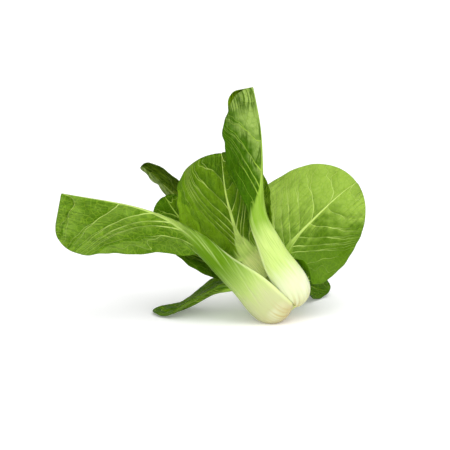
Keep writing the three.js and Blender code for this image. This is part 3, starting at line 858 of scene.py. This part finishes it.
def vein_lines(g, at):
    """1 on the side veins, which fork on their way to the margin, 0 between them."""
    centred = g.apart(g.math("FRACT", g.plus(at.number, 0.5)), 0.5)
    fork = g.times(g.step(0.3, 1.0, at.q), 0.27)
    off = g.times(g.apart(centred, fork), at.pitch)
    half = g.times(g.opposite(g.times(at.q, 0.75)), VEIN_HALF_WIDTH)
    return g.opposite(g.step(g.times(half, 0.3), half, off))


def blade_tone(g, leaf, at):
    """How light the blade is: broad and small patches, a lean that partly paints shade, and painted shade
    on one side of each field between the veins.
    """
    broad = g.noise(at.part, 32, 3)
    mottle = g.noise(at.part, 190, 3)
    tone = g.plus(g.times(broad, 0.6), g.times(mottle, 0.4))
    tone = g.plus(tone, leaf["tone"])
    # the lean partly paints shade: darker towards the side or end of a blade that neighbouring leaves shade
    tone = g.plus(tone, g.times(g.minus(at.x, 0.5), leaf["lean"][0]))
    tone = g.plus(tone, g.times(at.across, leaf["lean"][1]))
    # painted shade: one side of each field between the side veins is darker, as on a lit pucker
    painted_facet_shade = g.minus(g.math("FRACT", at.number), 0.5)
    tone = g.plus(tone, g.times(painted_facet_shade, 0.28 * leaf["quilt"]))
    return g.step(0.32, 0.7, tone)


def fine_creases(g, at):
    """1 in fine creases that run along the leaf in places."""
    bent = g.plus(at.across, g.times(g.noise(at.part, 22, 2), 0.1))
    lengthwise = drawn_out(g, at, bent, 2.6, 24.0, 3)
    crease = g.opposite(g.step(0.0, 0.07, g.apart(lengthwise, 0.5)))
    return g.times(crease, g.step(0.36, 0.56, g.noise(at.part, 28, 2)))


def small_veins(g, at):
    """Strength of the net of small veins, in two sizes."""
    warp = g.noise(at.part, 130, 2)
    along = g.plus(at.along, g.times(warp, 0.03))
    across = g.plus(g.times(at.across, 1.3), g.times(warp, 0.02))
    warped = g.vector(along, across, at.under)
    net = g.opposite(g.step(0.0, 0.1, g.cells(warped, 20)))
    small = g.opposite(g.step(0.0, 0.13, g.cells(warped, 55)))
    return g.plus(g.times(net, 0.26), g.times(small, 0.14))


def blade_colour(g, colour, leaf, at):
    """Blade colour without side veins, with painted shade in creases, and the height of creases and small
    veins.
    """
    tone = blade_tone(g, leaf, at)
    above = g.mix(tone, colour["deep"], colour["light"])
    below = g.mix(tone, colour["below"], colour["below_light"])
    blade = g.mix(at.under, above, below)
    crease = fine_creases(g, at)
    # painted shade: the blade darkens in its fine creases
    blade = g.mix(g.times(crease, leaf["crease"]), blade, CREASE_SHADE)
    net = small_veins(g, at)
    blade = g.mix(net, blade, colour["net"])
    return blade, g.plus(crease, g.times(net, 1.6))


def swelling_colour(g, colour, at, height):
    """Flesh of the foot, scuffed low down, and of the swelling above it, with painted highlight patches."""
    low = g.minus(0.9, g.times(g.step(0.06, 0.3, height), 0.9))
    scuffed = g.times(g.step(0.44, 0.6, g.noise(at.part, 90, 3)), low)
    foot = g.mix(scuffed, colour["foot"], SCUFF)
    flesh = g.mix(g.step(0.02, 0.3, height), foot, colour["bulge"])
    # painted highlight: soft whitish patches on the swelling stand in for the glare of the lights
    painted_highlight = g.times(g.step(0.1, 0.35, height), 0.5)
    painted_highlight = g.times(g.step(0.5, 0.68, g.noise(at.part, 34, 2)), painted_highlight)
    return g.mix(painted_highlight, flesh, PAINTED_HIGHLIGHT)


def stalk_colour(g, colour, greening, at):
    """Colour of the stalk and midrib from foot to tip, and the height of its strands."""
    fibre = drawn_out(g, at, at.across, 2.0, 60.0, 3)
    thread = drawn_out(g, at, at.across, 4.0, 170.0, 2)
    height = g.plus(at.stalk, g.times(g.minus(fibre, 0.5), 0.3))
    flesh = swelling_colour(g, colour, at, height)
    flesh = g.mix(g.step(0.3, 0.6, height), flesh, colour["stalk"])
    flesh = g.mix(g.step(*greening, height), flesh, colour["neck"])

    upper = g.step(0.2, 0.8, at.stalk)
    green = g.times(g.step(0.5, 0.66, thread), g.times(upper, 0.32))
    flesh = g.mix(green, flesh, colour["neck"])
    pale = g.times(g.step(0.5, 0.66, fibre), g.times(upper, 0.3))
    flesh = g.mix(pale, flesh, PALE_STRAND)
    below_neck = g.minus(0.5, g.times(g.step(0.8, 1.0, at.stalk), 0.5))
    flesh = g.mix(g.times(g.step(0.86, 0.98, at.q), below_neck), flesh, STALK_RIM)
    strands = g.plus(g.times(fibre, 0.66), g.times(thread, 0.34))
    return g.mix(g.step(0.0, 0.5, at.x), flesh, colour["vein"]), strands


def flesh_share(g, leaf, at, strands):
    """1 on the stalk, whose flesh ends in strands, and on the midrib, which narrows along the blade."""
    width = g.minus(leaf["fan"], g.times(g.step(0.0, 0.3, at.x), leaf["fan"] - MIDRIB_WIDTH))
    width = g.times(width, g.plus(0.1, g.times(strands, 1.8)))
    midrib = g.opposite(g.step(g.times(width, 0.6), width, at.ribs))
    beside = g.opposite(g.step(0.9, 1.5, at.ribs))
    reach = g.plus(g.times(g.step(0.36, 0.66, strands), 0.2), 0.012)
    stalk = g.times(beside, g.opposite(g.step(0.0, reach, at.x)))
    return g.math("MAXIMUM", midrib, stalk)


def leaf_material(leaf, slot):
    """Waxy leaf: netted and veined blade, and a stranded stalk that pales towards its foot."""
    colour = dict(PALETTES[slot], **leaf["colours"])
    g = Graph(leaf["name"])
    at = leaf_places(g)
    in_blade = g.step(0.02, 0.14, at.x)

    blade, wrinkles = blade_colour(g, colour, leaf, at)
    lines = g.times(vein_lines(g, at), in_blade)
    patchy = g.plus(0.25, g.times(g.step(0.38, 0.56, g.noise(at.part, 42, 2)), 0.75))
    strength = g.times(patchy, g.opposite(g.times(at.q, 0.6)))
    blade = g.mix(g.times(lines, strength), blade, colour["vein"])
    flesh, strands = stalk_colour(g, colour, leaf["greening"], at)
    fleshy = flesh_share(g, leaf, at, strands)

    rough = g.plus(0.36, g.times(at.under, 0.08))
    rough = g.minus(rough, g.times(fleshy, 0.12))
    rough = g.plus(rough, g.times(g.minus(g.noise(at.part, 260, 4), 0.5), 0.2))
    g.shade({
        "Base Color": g.mix(fleshy, blade, flesh),
        "Roughness": rough,
        "Subsurface Weight": 0.15,
        "Subsurface Radius": (1.0, 1.2, 0.1),
        "Subsurface Scale": 0.0016,
        "Specular IOR Level": leaf["gloss"],
        "Specular Tint": (0.9, 1, 0.35, 1),
    })

    relief = g.times(lines, g.minus(g.times(at.under, 2.0), 1.0))
    relief = g.minus(relief, g.times(wrinkles, 0.9))
    relief = g.times(relief, g.times(in_blade, leaf["quilt"]))
    grain = g.times(strands, g.times(fleshy, 1.3))
    g.bump(g.plus(relief, grain), 0.0006)
    return g.material


def stem_material():
    """Cut stem end: pale pith inside a browned ring, wet-looking and a little rough."""
    g = Graph("stem_end")
    ring = g.attribute("stem_place")[0]
    place = g.object_place()
    patch = g.noise(place, 160, 4)
    pith = g.mix(g.step(0.35, 0.7, patch), DULL_PITH, FRESH_PITH)
    wavy = g.plus(ring, g.times(g.minus(patch, 0.5), 0.12))
    woody = g.times(g.step(0.62, 0.74, wavy), g.opposite(g.step(0.8, 0.92, wavy)))
    face = g.mix(g.times(woody, 0.7), pith, BROWNED)
    g.shade({
        "Base Color": g.mix(g.step(0.9, 1.0, wavy), face, STEM_SKIN),
        "Roughness": g.plus(0.4, g.times(patch, 0.25)),
        "Subsurface Weight": 0.25,
        "Subsurface Radius": (1.0, 0.8, 0.4),
        "Subsurface Scale": 0.002,
    })
    g.bump(g.plus(g.noise(place, 700, 3), g.times(woody, -0.6)), 0.0004)
    return g.material


# ---------------------------------------------------------------- studio
def floor_and_sky():
    """Plain white floor that glows faintly under a white sky."""
    bpy.ops.mesh.primitive_plane_add(size=FLOOR_SIZE, location=(0, 0, 0))
    floor = bpy.context.object
    floor.name = "floor"
    g = Graph("floor")
    g.shade({
        "Base Color": (0.95, 0.95, 0.95, 1),
        "Roughness": 0.7,
        "Emission Color": (1, 1, 1, 1),
        "Emission Strength": FLOOR_GLOW,
    })
    floor.data.materials.append(g.material)

    world = bpy.data.worlds.new("studio")
    world.use_nodes = True
    sky = world.node_tree.nodes["Background"]
    sky.inputs["Color"].default_value = (1, 1, 1, 1)
    sky.inputs["Strength"].default_value = SKY_GLOW
    bpy.context.scene.world = world


def lights():
    """Soft light from above, from the right and from the front."""
    for name, toward, spread_angle, power in LIGHTS:
        light = bpy.data.lights.new(name, "SUN")
        light.angle = math.radians(spread_angle)
        light.energy = power
        lamp = bpy.data.objects.new(name, light)
        lamp.rotation_euler = Vector(toward).to_track_quat("Z", "Y").to_euler()
        bpy.context.scene.collection.objects.link(lamp)


def camera():
    """Looks down on the head a little, from far enough off to keep its shape."""
    data = bpy.data.cameras.new("camera")
    data.sensor_width = SENSOR
    data.lens = LENS
    eye = bpy.data.objects.new("camera", data)
    away = np.array([0, -math.cos(EYE_TILT), math.sin(EYE_TILT)])
    eye.location = LOOKS_AT * MM + EYE_DISTANCE * away
    eye.rotation_euler = (math.pi / 2 - EYE_TILT, 0, 0)
    bpy.context.scene.collection.objects.link(eye)
    bpy.context.scene.camera = eye


# ---------------------------------------------------------------- the head
slots = {s["node"]: s["material_slot"] for s in frame["record"]["subparts"]}
leaves = [dict(LEAF, **leaf) for leaf in LEAVES]
for leaf in HEART_LEAVES:
    both = dict(LEAF, **HEART_LEAF, **leaf)
    both.update(wide=(leaf["wide"], leaf["wide"]), path=heart_path(leaf))
    leaves.append(both)

materials = {leaf["name"]: leaf_material(leaf, slots[leaf["name"]]) for leaf in leaves}
materials["core"] = stem_material()

made = {"core": core_piece()}
outer = []
for leaf in leaves:
    made[leaf["name"]] = leaf_piece(leaf, outer)
for node, piece in made.items():
    piece.data.materials.append(materials[node])
    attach(piece, "root")
    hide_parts(node)

floor_and_sky()
lights()
camera()
bpy.context.scene.view_settings.view_transform = "Standard"

bpy.context.view_layer.update()
